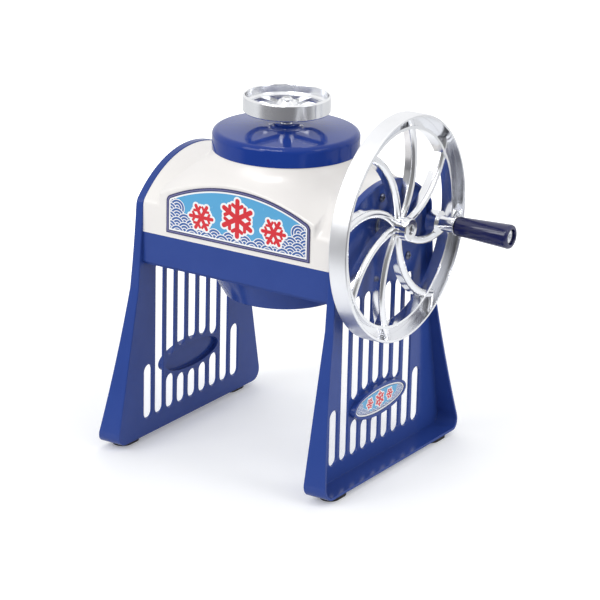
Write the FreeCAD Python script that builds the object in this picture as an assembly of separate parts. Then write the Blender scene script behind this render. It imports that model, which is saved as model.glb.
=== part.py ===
"""Hand-cranked ice shaver: two slotted side frames carry a white housing with an ice drum.

Machine frame while modelling: X runs along the crank axle (crank wheel on +X), the front is
-Y, +Z is up, the floor is Z = 0 and the feed spindle stands on X = Y = 0.  export_nodes()
moves everything so that the origin is the centre of the overall box at the floor.
All lengths are millimetres, all angles degrees.
"""
import FreeCAD, Part
import math
import os

V = FreeCAD.Vector
X_AXIS = V(1, 0, 0)
Y_AXIS = V(0, 1, 0)
Z_AXIS = V(0, 0, 1)

# ---------------------------------------------------------------- clearances
RUN_CLEAR = 0.06          # radial running fit of a shaft in its bore
SEAT_CLEAR = 0.2          # loose fit of parts that are fixed to each other
MOVE_GAP = 0.3            # gap between faces that turn or slide past each other
EPS = 0.01                # overlap used only inside one fused solid

# ---------------------------------------------------------------- side frames
FOOT_H = 5.0              # rubber foot height
FRAME_GAP_HALF = 111.6    # spindle axis to the inner face of a side frame
FRAME_WALL = 2.4
BASE_HALF = 132.0         # half depth of a frame at its foot
KNEE_HALF = 97.0          # half depth where the flare starts
KNEE_Z = 169.0
SPRING_HALF = 90.3        # half depth where the arch springs
SPRING_Z = 259.3
ARCH_TOP_Z = 301.0
CORNER_R = 12.0
FLANGE_TOP = 5.5          # how far the edge flange stands out at the arch
FLANGE_BOTTOM = 25.0      # and at the foot
EDGE_R = 1.0              # rounding of visible plastic edges

SLOT_COUNT = 9
SLOT_PITCH = 19.8
SLOT_W = 14.8
SLOT_BOTTOM_Z = 23.0
SLOT_TOP_Z = 190.5
SLOT_SHORT_TOP_Z = 82.0   # the outermost slots are short

BADGE_Z = 71.2
BADGE_HALF_L = 50.0
BADGE_HALF_H = 15.8
BADGE_RIM = 3.2           # width of the raised oval rim
BADGE_PROUD = 6.0         # rim height over the frame's outer face
BADGE_RECESS = 1.4        # depth of the sticker field inside the rim
BADGE_SLOT_GAP = 1.0      # solid strip between the oval and the slot ends
STICKER_T = 0.5

FOOT_L = 32.0
FOOT_W = 20.0
FOOT_CENTRE_Y = 97.0
FOOT_STUD_R = 3.0         # stud that locates a foot under its flange
FOOT_STUD_H = 1.2

# ---------------------------------------------------------------- housing
CASE_INSET = 0.8          # housing outline inside the frame outline
CASE_WALL = 3.0
BAND_BOTTOM_Z = 196.5     # blue band, lower edge
BAND_TOP_Z = 228.0        # blue band, upper edge, where the white shell starts
FLOOR_T = 5.0             # tray floor thickness
FLOOR_DROP = 3.0          # how far the tray floor shows below the band
FLOOR_INSET = 3.0         # its step back from the band's front
NECK_RISE = 13.4          # lid seat above the arch crown
NECK_STEP = 0.7           # lid overhang over the top of the neck
NECK_ANGLE = 15.0         # lean of the neck's wall under the lid
SHOULDER_SLOPE = 30.0     # fall of the shoulder outside the neck's hollow curve
PANEL_HALF_W = 93.0       # half width of the flat panels under the shoulder
PANEL_DROP = 6.5          # top of the front panel below the arch crown
PANEL_EDGE_R = 2.5
VALLEY_R = 6.0            # hollow rounding where the shoulder runs into the arch
SEAM_TURN = 60.0          # keeps the shoulder's seam line off the panels' middles and corners
COLLAR_H = 7.6            # collar inside the lid

LABEL_HALF_W = 85.2
LABEL_SHIFT_X = 2.7       # its middle, from the spindle towards the crank
LABEL_BASE_GAP = 5.0      # label above the blue band
LABEL_TOP_GAP = 3.3       # label below the top of the front panel
LABEL_RISE = 20.7         # rise of its arched top
LABEL_CORNER_R = 7.5      # rounding of its two upper corners
LABEL_T = 0.8

# ---------------------------------------------------------------- drum and gears
DRUM_BORE_R = 43.5
DRUM_WALL = 2.5
VANE_COUNT = 6
VANE_H = 2.0
VANE_W = 4.0
PINION_GAP = 3.0          # drum wall to the pinion's small end
GEAR_FACE = 11.0
PINION_TEETH = 12
RING_TEETH = 36
ADDENDUM = 2.6
DEDENDUM = 3.3
PRESSURE = 22.0
TOOTH_THINNING = 0.5      # taken off each tooth for backlash
RING_RIM = 6.0            # ring gear body outside the teeth
RING_BACK = 8.0           # ring gear thickness over the tooth roots
RING_CLEAR = 2.2          # ring gear to the neck collar
DRUM_FLANGE_T = 3.0
AXLE_DROP = 45.0          # axle below the arch crown
AXLE_R = 5.0

TABLE_T = 4.0
TABLE_RIM = 18.0          # blade table outside the drum
SEAT_RING_T = 5.0
SEAT_LEDGE_H = 2.5
SEAT_RING_H = 8.5
FLOOR_HOLE_RIM = 6.0      # tray floor hole outside the drum
BLADE_L = 36.0
BLADE_W = 22.0
BLADE_T = 1.6
BLADE_TILT = 20.0
BLADE_PROUD = 0.8         # cutting edge over the table
BLADE_SLOT_GAP = 2.4      # shavings gap in front of the blade
BLADE_SEAT_T = 7.0        # thickness of its sloping seat under the table
BLADE_SCREW_L = 6.5
BLADE_SCREW_HEAD_H = 1.2
SLOT_REACH = 30.0         # height of the tilted cuts through the table

FUNNEL_TOP_R = 78.0
FUNNEL_BOTTOM_R = 60.0
FUNNEL_H = 30.2
FUNNEL_WALL = 2.5
FUNNEL_FLANGE_W = 14.0
FUNNEL_FLANGE_T = 3.0

# ---------------------------------------------------------------- axle bearings
BRACKET_CLEAR = 4.0       # ring gear to the inner bearing bracket
BRACKET_T = 12.0
BRACKET_HALF_W = 15.0
BRACKET_FOOT_L = 11.0
BRACKET_FOOT_T = 5.0
BUSH_WALL = 3.0
BUSH_FLANGE_R = 12.0
BUSH_FLANGE_T = 2.0
BEARING_BOSS_R = 16.0
BEARING_BOSS_L = 6.0
CIRCLIP_T = 1.5
CIRCLIP_R = 8.5
WASHER_T = 1.7
PINION_HUB_R = 12.0
PIN_R = 1.5

# ---------------------------------------------------------------- crank wheel
WHEEL_R = 115.0
RIM_W = 20.0
RIM_T = 3.0
RIM_GAP = 5.5             # rim to the frame flange
CHANNEL_W = 13.0          # from the rim band to the inner lip
CHANNEL_WEB_T = 3.0
CHANNEL_WEB_X = 2.5       # web in front of the rim's back edge
LIP_T = 3.0
LIP_W = 12.0
SPOKE_COUNT = 8
SPOKE_W = 9.0
SPOKE_DEPTH = 11.0
SPOKE_ROUND = 4.0
SPOKE_PHASE = -6.0        # rim end of the first spoke, from +Y towards +Z
SPOKE_SWEEP_HUB = 32.0    # how far a spoke lags at the hub
SPOKE_SWEEP_MID = 20.6    # and half way
HUB_R = 11.5
HUB_END = 24.0            # hub face in front of the rim's back edge
HUB_MOUTH_R = 5.0         # recess in the hub for its screw
HUB_MOUTH_D = 6.0
HUB_SCREW_R = 3.9
HUB_SCREW_H = 3.0

# ---------------------------------------------------------------- crank handle
HANDLE_RADIUS = 79.8      # axle to the handle's axis
HANDLE_STEP = 12.4        # handle's axis ahead of the first spoke's middle line
EYE_R = 12.0
HANDLE_BOSS_R = 8.0
HANDLE_BOSS_END = 30.0    # boss face in front of the rim's back edge
GRIP_L = 62.0
GRIP_INNER_R = 9.75
GRIP_OUTER_R = 12.5
GRIP_END_R = 2.5
HANDLE_BOLT_R = 4.0
HANDLE_BOLT_HEAD_R = 6.5
HANDLE_BOLT_HEAD_H = 3.5
GRIP_RECESS_R = 8.0
GRIP_RECESS_D = 6.0

# ---------------------------------------------------------------- lid and feed
LID_FIT = 0.5             # lid skirt around the collar
LID_WALL = 3.0
LID_H = 19.6              # height of the lid at its rounded edge
LID_EDGE_R = 6.0
LID_CROWN_H = 24.6        # height of its flat middle
LID_CROWN_R = 26.0
LID_CROWN_ROUND = 90.0    # soft change from the sloping top to the flat middle
NUT_R = 13.0
NUT_FLANGE_R = 22.0
NUT_FLANGE_T = 4.0
SPINDLE_R = 6.0
THREAD_PITCH = 3.0
THREAD_DEPTH = 0.9
HAND_GAP = 14.0           # lid's middle to the hand wheel ring
HAND_R = 44.3
HAND_H = 17.0
HAND_WALL = 2.5
HAND_LEDGE_W = 5.0
HAND_LEDGE_T = 3.5
HAND_SPOKES = 5
HAND_SPOKE_W = 9.0
HAND_HUB_R = 11.0
HAND_HUB_DROP = 3.0       # hub below the ring's lower edge
HAND_HUB_H = 14.0
PRESSER_GAP = 1.5         # plate edge to the drum vanes
PRESSER_T = 5.0
PRESSER_STANDOFF = 4.0    # spike tips over the blade table
SPIKE_H = 5.0
SPIKE_R = 2.2
SPIKE_ROWS = ((6, 20.0), (12, 33.0))   # count and share of a ring of spikes, by radius
PRESSER_HUB_R = 12.0
PRESSER_HUB_H = 5.0
JOURNAL_R = 4.0
PRESSER_SCREW_R = 7.5
PRESSER_SCREW_H = 2.2
PRESSER_RECESS_D = 2.8    # recess under the plate for that screw
NUT_PROUD = 1.5           # spindle nut over the lid's middle
NUT_SCREWS = 3

# ---------------------------------------------------------------- screws
SCREW_R = 2.0
SCREW_HEAD_R = 4.2
SCREW_HEAD_H = 2.2
SCREW_L = 11.0
SCREW_BOSS_R = 5.5
SCREW_RIB_HALF = 2.0
CASE_SCREW_DROP = 18.0    # housing screw below the arch crown
TRAY_SCREW_Y = 54.0
TRAY_SCREW_RISE = 12.5    # tray screws above the band's lower edge
TABLE_SCREW_START = 45.0  # first table screw from +X
FUNNEL_SCREW_START = 30.0 # first funnel screw from +X
FUNNEL_SCREW_GAP = 1.0    # its head to the blade table

# ---------------------------------------------------------------- derived places
FRAME_FACE = FRAME_GAP_HALF + FRAME_WALL
CASE_HALF = SPRING_HALF - CASE_INSET
CASE_TOP_Z = ARCH_TOP_Z - CASE_INSET
PANEL_TOP_Z = ARCH_TOP_Z - PANEL_DROP
LABEL_TOP_Z = PANEL_TOP_Z - LABEL_TOP_GAP
LABEL_SIDE_Z = LABEL_TOP_Z - LABEL_RISE
FLOOR_BOTTOM_Z = BAND_BOTTOM_Z - FLOOR_DROP
FLOOR_TOP_Z = FLOOR_BOTTOM_Z + FLOOR_T
AXLE_Z = ARCH_TOP_Z - AXLE_DROP

DRUM_R = DRUM_BORE_R + DRUM_WALL
GEAR_IN = DRUM_R + PINION_GAP
GEAR_OUT = GEAR_IN + GEAR_FACE
GEAR_TAPER = GEAR_IN / GEAR_OUT
MODULE = 2 * GEAR_OUT / RING_TEETH
PINION_R = MODULE * PINION_TEETH / 2
TOOTH_THICK = math.pi * MODULE / 2 - TOOTH_THINNING
RING_R = GEAR_OUT + RING_RIM
RING_ROOT_Z = AXLE_Z + PINION_R + DEDENDUM
RING_TOP_Z = RING_ROOT_Z + RING_BACK
DRUM_TOP_Z = RING_TOP_Z + DRUM_FLANGE_T
TABLE_R = DRUM_R + TABLE_RIM
TABLE_TOP_Z = FLOOR_TOP_Z + TABLE_T
DRUM_BOTTOM_Z = TABLE_TOP_Z + SEAT_LEDGE_H
FLOOR_HOLE_R = DRUM_R + FLOOR_HOLE_RIM

COLLAR_BORE_R = RING_R + RING_CLEAR
COLLAR_R = COLLAR_BORE_R + CASE_WALL
LID_SKIRT_BORE_R = COLLAR_R + LID_FIT
LID_R = LID_SKIRT_BORE_R + LID_WALL
NECK_TOP_R = LID_R - NECK_STEP
LID_BASE_Z = ARCH_TOP_Z + NECK_RISE
LID_CROWN_Z = LID_BASE_Z + LID_CROWN_H
HAND_BASE_Z = LID_CROWN_Z + HAND_GAP
HAND_TOP_Z = HAND_BASE_Z + HAND_H
HAND_HUB_Z = HAND_BASE_Z - HAND_HUB_DROP

VANE_TIP_R = DRUM_BORE_R - VANE_H
PRESSER_R = VANE_TIP_R - PRESSER_GAP
PRESSER_Z = TABLE_TOP_Z + PRESSER_STANDOFF + SPIKE_H
PRESSER_TOP_Z = PRESSER_Z + PRESSER_T + PRESSER_HUB_H
SPINDLE_SHOULDER_Z = PRESSER_TOP_Z + WASHER_T

BRACKET_X = RING_R + BRACKET_CLEAR
BUSH_R = AXLE_R + BUSH_WALL
PINION_HUB_END = BRACKET_X - BUSH_FLANGE_T - MOVE_GAP
RIM_BACK = FRAME_FACE + FLANGE_TOP + RIM_GAP
HUB_FACE = RIM_BACK + HUB_END
HUB_BACK = FRAME_FACE + BUSH_FLANGE_T + 2 * MOVE_GAP + WASHER_T
AXLE_END = HUB_FACE - HUB_MOUTH_D - 4.0
SPOKE_FRONT = RIM_BACK + SPOKE_DEPTH + 0.5
LIP_OUT_R = WHEEL_R - RIM_T - CHANNEL_W + LIP_T
LIP_IN_R = LIP_OUT_R - LIP_T
HANDLE_FACE = RIM_BACK + HANDLE_BOSS_END
GRIP_START = HANDLE_FACE + WASHER_T + MOVE_GAP
GRIP_FINISH = GRIP_START + GRIP_L
MACHINE_LEFT = -(FRAME_FACE + FLANGE_BOTTOM)


# ================================================================ helpers
def box(x0, x1, y0, y1, z0, z1):
    return Part.makeBox(x1 - x0, y1 - y0, z1 - z0, V(x0, y0, z0))


def rod_x(radius, x0, x1, y=0.0, z=0.0):
    return Part.makeCylinder(radius, x1 - x0, V(x0, y, z), X_AXIS)


def rod_z(radius, z0, z1, x=0.0, y=0.0):
    return Part.makeCylinder(radius, z1 - z0, V(x, y, z0), Z_AXIS)


def tube_x(outer, inner, x0, x1, y=0.0, z=0.0):
    return rod_x(outer, x0, x1, y, z).cut(rod_x(inner, x0 - 1, x1 + 1, y, z))


def tube_z(outer, inner, z0, z1, x=0.0, y=0.0):
    return rod_z(outer, z0, z1, x, y).cut(rod_z(inner, z0 - 1, z1 + 1, x, y))


def turned_z(profile):
    """Solid of revolution about Z from (radius, z) corners."""
    corners = [V(r, 0, z) for r, z in profile]
    face = Part.Face(Part.makePolygon(corners + corners[:1]))
    return face.revolve(V(0, 0, 0), Z_AXIS, 360)


def turned_x(profile, y=0.0, z=0.0):
    """Solid of revolution about the line through (y, z) along X from (radius, x) corners."""
    corners = [V(x, y + r, z) for r, x in profile]
    face = Part.Face(Part.makePolygon(corners + corners[:1]))
    return face.revolve(V(0, y, z), X_AXIS, 360)


def fused(shapes):
    body = shapes[0].fuse(shapes[1:]) if len(shapes) > 1 else shapes[0]
    return body.removeSplitter()


def around_z(shape, count, start=0.0):
    """Copies of a shape spread evenly about the spindle."""
    copies = []
    for index in range(count):
        copy = shape.copy()
        copy.rotate(V(0, 0, 0), Z_AXIS, start + index * 360.0 / count)
        copies.append(copy)
    return copies


def mirrored(shape):
    return shape.mirror(V(0, 0, 0), X_AXIS)


def edges_on_plane(shape, x):
    """Edges that lie wholly in the plane at the given X."""
    return [e for e in shape.Edges
            if abs(e.BoundBox.XMin - x) < 1e-4 and abs(e.BoundBox.XMax - x) < 1e-4]


def outline(half_spring, top_z, lower_corners, inset=0.0):
    """Face in the plane X = 0: straight sides under an arch, its corners rounded."""
    right = [V(0, y, z) for y, z in lower_corners] + [V(0, half_spring, SPRING_Z)]
    left = [V(0, -p.y, p.z) for p in reversed(right)]
    edges = [Part.makeLine(a, b) for a, b in zip(right, right[1:])]
    edges.append(Part.Arc(right[-1], V(0, 0, top_z), left[0]).toShape())
    edges += [Part.makeLine(a, b) for a, b in zip(left, left[1:])]
    edges.append(Part.makeLine(left[-1], right[0]))
    sharp = Part.Face(Part.Wire(edges))
    rounded = sharp.makeOffset2D(-CORNER_R).makeOffset2D(CORNER_R)
    return rounded.makeOffset2D(-inset) if inset else rounded


def from_x(face, x0, x1):
    """Prism of a face drawn in X = 0, standing between two X planes."""
    solid = face.extrude(V(x1 - x0, 0, 0))
    solid.translate(V(x0, 0, 0))
    return solid


def oval(half_l, half_h, x0, x1):
    """Elliptical prism on the badge centre."""
    curve = Part.Ellipse(V(0, half_l, 0), V(0, 0, half_h), V(0, 0, 0))
    face = Part.Face(Part.Wire(curve.toShape()))
    face.translate(V(0, 0, BADGE_Z))
    return from_x(face, x0, x1)


def screw(length, radius=SCREW_R, head_r=SCREW_HEAD_R, head_h=SCREW_HEAD_H):
    """Pan head screw along +Z: head from 0 to head_h, shank below, cross slot on top."""
    head = turned_z([(0, 0), (head_r, 0), (head_r, head_h * 0.45), (head_r * 0.7, head_h), (0, head_h)])
    body = fused([head, rod_z(radius, -length, EPS)])
    arm = box(-head_r * 0.6, head_r * 0.6, -head_r * 0.12, head_r * 0.12, head_h * 0.45, head_h + 1)
    body = body.cut(arm)
    arm.rotate(V(0, 0, 0), Z_AXIS, 90)
    return body.cut(arm)


def aimed(shape, direction, place):
    """Turn a shape built along +Z towards a direction and put it in its place."""
    copy = shape.copy()
    turn = FreeCAD.Rotation(Z_AXIS, direction)
    copy.Placement = FreeCAD.Placement(place, turn)
    return copy


# ================================================================ side frames
def frame_outline(inset=0.0):
    return outline(SPRING_HALF, ARCH_TOP_Z, [(BASE_HALF, FOOT_H), (KNEE_HALF, KNEE_Z)], inset)


def slot_spans(y):
    """Lower and upper ends of the slot or slots at a distance from the middle."""
    if abs(y) > SLOT_PITCH * (SLOT_COUNT // 2) - SLOT_PITCH / 2:
        return [(SLOT_BOTTOM_Z, SLOT_SHORT_TOP_Z)]
    if abs(y) - SLOT_W / 2 >= BADGE_HALF_L + BADGE_SLOT_GAP:
        return [(SLOT_BOTTOM_Z, SLOT_TOP_Z)]
    share = max(0.0, 1 - (y / BADGE_HALF_L) ** 2)
    reach = BADGE_HALF_H * math.sqrt(share) + BADGE_SLOT_GAP
    return [(SLOT_BOTTOM_Z, BADGE_Z - reach), (BADGE_Z + reach, SLOT_TOP_Z)]


def slot_cutter(y, z0, z1):
    radius = SLOT_W / 2
    x0 = FRAME_GAP_HALF - 1
    x1 = FRAME_FACE + 1
    shapes = [box(x0, x1, y - radius, y + radius, z0 + radius, z1 - radius)]
    shapes.append(rod_x(radius, x0, x1, y, z0 + radius))
    shapes.append(rod_x(radius, x0, x1, y, z1 - radius))
    return fused(shapes)


def frame_screw_places():
    tray_z = BAND_BOTTOM_Z + TRAY_SCREW_RISE
    return [(0.0, ARCH_TOP_Z - CASE_SCREW_DROP), (TRAY_SCREW_Y, tray_z), (-TRAY_SCREW_Y, tray_z)]


def foot_places():
    x = FRAME_FACE + FLANGE_BOTTOM / 2
    return [(x, FOOT_CENTRE_Y), (x, -FOOT_CENTRE_Y)]


def side_frame(with_axle):
    """Right-hand frame: a slotted sheet with an edge flange that widens towards the foot."""
    flange_end = FRAME_FACE + FLANGE_BOTTOM
    shell = from_x(frame_outline(), FRAME_GAP_HALF, flange_end)
    shell = shell.makeFillet(EDGE_R, edges_on_plane(shell, FRAME_GAP_HALF))
    pocket = from_x(frame_outline(FRAME_WALL), FRAME_FACE, flange_end + 1)
    shell = shell.cut(pocket)

    # the flange's free edge follows one large arc that is upright at the arch spring
    rise = SPRING_Z - FOOT_H
    spread = FLANGE_BOTTOM - FLANGE_TOP
    sweep_r = (rise ** 2 + spread ** 2) / (2 * spread)
    centre = V(FRAME_FACE + FLANGE_TOP + sweep_r, -2 * BASE_HALF, SPRING_Z)
    trim = Part.makeCylinder(sweep_r, 4 * BASE_HALF, centre, Y_AXIS)
    shell = shell.cut(trim)
    above = box(FRAME_FACE + FLANGE_TOP, flange_end + 1, -BASE_HALF, BASE_HALF, SPRING_Z, ARCH_TOP_Z + 1)
    shell = shell.cut(above)

    first = -SLOT_PITCH * (SLOT_COUNT - 1) / 2
    cutters = []
    for index in range(SLOT_COUNT):
        y = first + index * SLOT_PITCH
        cutters += [slot_cutter(y, z0, z1) for z0, z1 in slot_spans(y)]
    shell = shell.cut(Part.Compound(cutters))

    pad = oval(BADGE_HALF_L, BADGE_HALF_H, FRAME_GAP_HALF, FRAME_FACE + BADGE_PROUD)
    field_x = FRAME_FACE + BADGE_PROUD - BADGE_RECESS
    field = oval(BADGE_HALF_L - BADGE_RIM, BADGE_HALF_H - BADGE_RIM, field_x, field_x + BADGE_RECESS + 1)
    back = oval(BADGE_HALF_L - FRAME_WALL, BADGE_HALF_H - FRAME_WALL,
                FRAME_GAP_HALF - 1, field_x - FRAME_WALL)
    shell = shell.fuse(pad).cut([field, back])

    holes = [rod_x(SCREW_R + SEAT_CLEAR, FRAME_GAP_HALF - 1, FRAME_FACE + 1, y, z)
             for y, z in frame_screw_places()]
    holes += [rod_z(FOOT_STUD_R + SEAT_CLEAR, FOOT_H - 1, FOOT_H + FOOT_STUD_H + SEAT_CLEAR, x, y)
              for x, y in foot_places()]
    if with_axle:
        boss = rod_x(BEARING_BOSS_R, FRAME_GAP_HALF - BEARING_BOSS_L, FRAME_GAP_HALF + EPS, 0, AXLE_Z)
        shell = shell.fuse(boss)
        holes.append(rod_x(BUSH_R + SEAT_CLEAR / 2, FRAME_GAP_HALF - BEARING_BOSS_L - 1,
                           FRAME_FACE + 1, 0, AXLE_Z))
    return shell.cut(Part.Compound(holes)).removeSplitter()


def badge_sticker():
    base = FRAME_FACE + BADGE_PROUD - BADGE_RECESS
    margin = BADGE_RIM + SEAT_CLEAR
    return oval(BADGE_HALF_L - margin, BADGE_HALF_H - margin, base, base + STICKER_T)


def frame_screws():
    """Screws through both frames into the housing and the tray."""
    right = [aimed(screw(SCREW_L + FRAME_WALL), X_AXIS, V(FRAME_FACE, y, z))
             for y, z in frame_screw_places()]
    return Part.Compound(right + [mirrored(one) for one in right])


def rubber_feet():
    """Stadium-shaped feet, each with a stud in a recess under the foot flange."""
    feet = []
    straight = (FOOT_L - FOOT_W) / 2
    for x, y in foot_places():
        pad = fused([box(x - FOOT_W / 2, x + FOOT_W / 2, y - straight, y + straight, 0, FOOT_H),
                     rod_z(FOOT_W / 2, 0, FOOT_H, x, y - straight),
                     rod_z(FOOT_W / 2, 0, FOOT_H, x, y + straight)])
        stud = rod_z(FOOT_STUD_R, FOOT_H - EPS, FOOT_H + FOOT_STUD_H, x, y)
        feet.append(fused([pad, stud]))
    return Part.Compound(feet + [mirrored(foot) for foot in feet])


# ================================================================ housing
def case_outline(inset=0.0):
    return outline(CASE_HALF, CASE_TOP_Z, [(CASE_HALF, BAND_TOP_Z - 2 * CORNER_R)], inset)


def case_screw_boss(length):
    y, z = frame_screw_places()[0]
    end = FRAME_GAP_HALF
    shapes = [rod_x(SCREW_BOSS_R, end - length, end, y, z)]
    roof = CASE_TOP_Z - CASE_WALL + EPS
    shapes.append(box(end - length, end, y - SCREW_RIB_HALF, y + SCREW_RIB_HALF, z, roof))
    boss = fused(shapes)
    return boss.cut(rod_x(SCREW_R + RUN_CLEAR, end - length, end + 1, y, z))


def shoulder(grow=0.0, top_z=LID_BASE_Z):
    """Neck that curves out into a sloping shoulder over four upright panels, grown by a skin."""
    slope = math.radians(SHOULDER_SLOPE)
    lean = math.radians(NECK_ANGLE)
    drop = LID_BASE_Z - PANEL_TOP_Z - (CASE_HALF - NECK_TOP_R) * math.tan(slope)
    hollow_r = drop * math.cos(slope) / (1 - math.sin(lean + slope))
    centre = V(NECK_TOP_R + hollow_r * math.cos(lean), 0, LID_BASE_Z + hollow_r * math.sin(lean))
    angles = (lean, (lean + math.pi / 2 - slope) / 2, math.pi / 2 - slope)
    top, middle, foot = [centre - V(math.cos(a), 0, math.sin(a)) * (hollow_r - grow) for a in angles]
    half_w = PANEL_HALF_W + grow
    half_d = CASE_HALF + grow
    out = math.hypot(half_w, half_d) + 1
    corners = [top, V(0, 0, top.z), V(0, 0, BAND_TOP_Z), V(out, 0, BAND_TOP_Z),
               V(out, 0, foot.z - (out - foot.x) * math.tan(slope)), foot]
    edges = [Part.makeLine(a, b) for a, b in zip(corners, corners[1:])]
    edges.append(Part.Arc(foot, middle, top).toShape())
    body = Part.Face(Part.Wire(edges)).revolve(V(0, 0, 0), Z_AXIS, 360)
    body.rotate(V(0, 0, 0), Z_AXIS, SEAM_TURN)
    return body.common(box(-half_w, half_w, -half_d, half_d, BAND_TOP_Z, top_z))


def panel_edges(body):
    """Upper and corner edges of the four upright panels."""
    found = []
    for edge in body.Edges:
        room = edge.BoundBox
        on_side = room.XLength < 1e-3 and abs(abs(room.XMin) - PANEL_HALF_W) < 1e-3
        on_front = room.YLength < 1e-3 and abs(abs(room.YMin) - CASE_HALF) < 1e-3
        if (on_side or on_front) and room.ZLength > 1:
            found.append(edge)
    return found


def valley_edges(body):
    """Edges where the neck and the shoulder run into the arch."""
    rise = CASE_TOP_Z - SPRING_Z
    arch_r = (CASE_HALF ** 2 + rise ** 2) / (2 * rise)
    found = []
    for edge in body.Edges:
        middle = edge.valueAt((edge.FirstParameter + edge.LastParameter) / 2)
        off_arch = abs(math.hypot(middle.y, CASE_TOP_Z - arch_r - middle.z) - arch_r)
        if off_arch < 0.05 and abs(middle.x) < PANEL_HALF_W - PANEL_EDGE_R and middle.z > SPRING_Z:
            found.append(edge)
    return found


def upper_casing():
    """White shell: an arched tunnel between the frames with a shoulder, a neck and a lid collar."""
    cowl = shoulder()
    cowl = cowl.makeFillet(PANEL_EDGE_R, panel_edges(cowl))
    shell = from_x(case_outline(), -FRAME_GAP_HALF, FRAME_GAP_HALF).fuse(cowl).removeSplitter()
    shell = shell.makeFillet(VALLEY_R, valley_edges(shell))
    shell = shell.fuse(rod_z(COLLAR_R, LID_BASE_Z - EPS, LID_BASE_Z + COLLAR_H))

    hollow = from_x(case_outline(CASE_WALL), -FRAME_GAP_HALF - 1, FRAME_GAP_HALF + 1)
    inner_neck = shoulder(-CASE_WALL, LID_BASE_Z - CASE_WALL)
    bore = rod_z(COLLAR_BORE_R, BAND_TOP_Z, LID_BASE_Z + COLLAR_H + 1)
    below = box(-FRAME_GAP_HALF - 1, FRAME_GAP_HALF + 1, -2 * CASE_HALF, 2 * CASE_HALF, 0, BAND_TOP_Z)
    shell = shell.cut([hollow, inner_neck, bore, below])

    boss = case_screw_boss(SCREW_L)
    return shell.fuse([boss, mirrored(boss)]).removeSplitter()


def tray_screw_boss(y, z, length):
    end = FRAME_GAP_HALF
    shapes = [rod_x(SCREW_BOSS_R, end - length, end, y, z)]
    shapes.append(box(end - length, end, y - SCREW_RIB_HALF, y + SCREW_RIB_HALF, FLOOR_TOP_Z - EPS, z))
    return fused(shapes)


def table_screw_places():
    return four_places((FLOOR_HOLE_R + TABLE_R) / 2, TABLE_SCREW_START)


def funnel_screw_places():
    return four_places(TABLE_R + FUNNEL_SCREW_GAP + SCREW_HEAD_R * 0.8, FUNNEL_SCREW_START)


def bracket_screw_places():
    x = BRACKET_X + BRACKET_T / 2
    y = BRACKET_HALF_W + BRACKET_FOOT_L / 2
    return [V(x, y, 0), V(x, -y, 0)]


def four_places(radius, start):
    """Four points about the spindle, a quarter turn apart."""
    angles = [math.radians(start + 90 * k) for k in range(4)]
    return [V(radius * math.cos(a), radius * math.sin(a), 0) for a in angles]


def base_tray():
    """Blue tray whose walls show as the band under the white shell."""
    end = FRAME_GAP_HALF
    walls = box(-end, end, -CASE_HALF, CASE_HALF, BAND_BOTTOM_Z, BAND_TOP_Z)
    inner = CASE_HALF - CASE_WALL
    side = end - CASE_WALL
    walls = walls.cut(box(-side, side, -inner, inner, BAND_BOTTOM_Z - 1, BAND_TOP_Z + 1))
    step = CASE_HALF - FLOOR_INSET
    floor = box(-end, end, -step, step, FLOOR_BOTTOM_Z, FLOOR_TOP_Z)
    bosses = []
    holes = [rod_z(FLOOR_HOLE_R, FLOOR_BOTTOM_Z - 1, FLOOR_TOP_Z + 1)]
    for y, z in frame_screw_places()[1:]:
        right = tray_screw_boss(y, z, SCREW_L)
        hole = rod_x(SCREW_R + RUN_CLEAR, end - SCREW_L, end + 1, y, z)
        bosses += [right, mirrored(right)]
        holes += [hole, mirrored(hole)]
    for place in table_screw_places() + funnel_screw_places() + bracket_screw_places():
        holes.append(rod_z(SCREW_R + RUN_CLEAR, FLOOR_BOTTOM_Z - 1, FLOOR_TOP_Z + 1, place.x, place.y))
    tray = fused([walls, floor] + bosses)
    return tray.cut(holes).removeSplitter()


def front_label():
    """Thin plate with an arched top on the flat front panel."""
    y = -CASE_HALF
    left = LABEL_SHIFT_X - LABEL_HALF_W
    right = LABEL_SHIFT_X + LABEL_HALF_W
    base_z = BAND_TOP_Z + LABEL_BASE_GAP
    corners = [V(left, y, LABEL_SIDE_Z), V(left, y, base_z), V(right, y, base_z), V(right, y, LABEL_SIDE_Z)]
    edges = [Part.makeLine(a, b) for a, b in zip(corners, corners[1:])]
    edges.append(Part.Arc(corners[3], V(LABEL_SHIFT_X, y, LABEL_TOP_Z), corners[0]).toShape())
    plate = Part.Face(Part.Wire(edges)).extrude(V(0, -LABEL_T, 0))
    upper = [e for e in plate.Edges if abs(e.BoundBox.ZMin - LABEL_SIDE_Z) < 1e-3
             and abs(e.BoundBox.ZMax - LABEL_SIDE_Z) < 1e-3]
    return plate.makeFillet(LABEL_CORNER_R, upper)


# ================================================================ shaving parts
def blade_frame(shape):
    """Tilt a shape drawn around the blade's edge line and put it in the table's slot.

    The edge faces -Y at positive X, so it meets the ice when the crank turns clockwise as
    seen from the crank's side.
    """
    copy = shape.copy()
    copy.rotate(V(0, 0, 0), X_AXIS, BLADE_TILT)
    copy.translate(V(0, 0, TABLE_TOP_Z + BLADE_PROUD))
    return copy.mirror(V(0, 0, 0), Y_AXIS)


def blade_span():
    """X range of the blade, from near the axis to near the drum wall."""
    outer = DRUM_BORE_R - 3.0
    return outer - BLADE_L, outer


def blade_screw_places():
    x0, x1 = blade_span()
    quarter = (x1 - x0) / 4
    y = -BLADE_W * 0.68
    return [V(x0 + quarter, y, 0), V(x1 - quarter, y, 0)]


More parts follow.
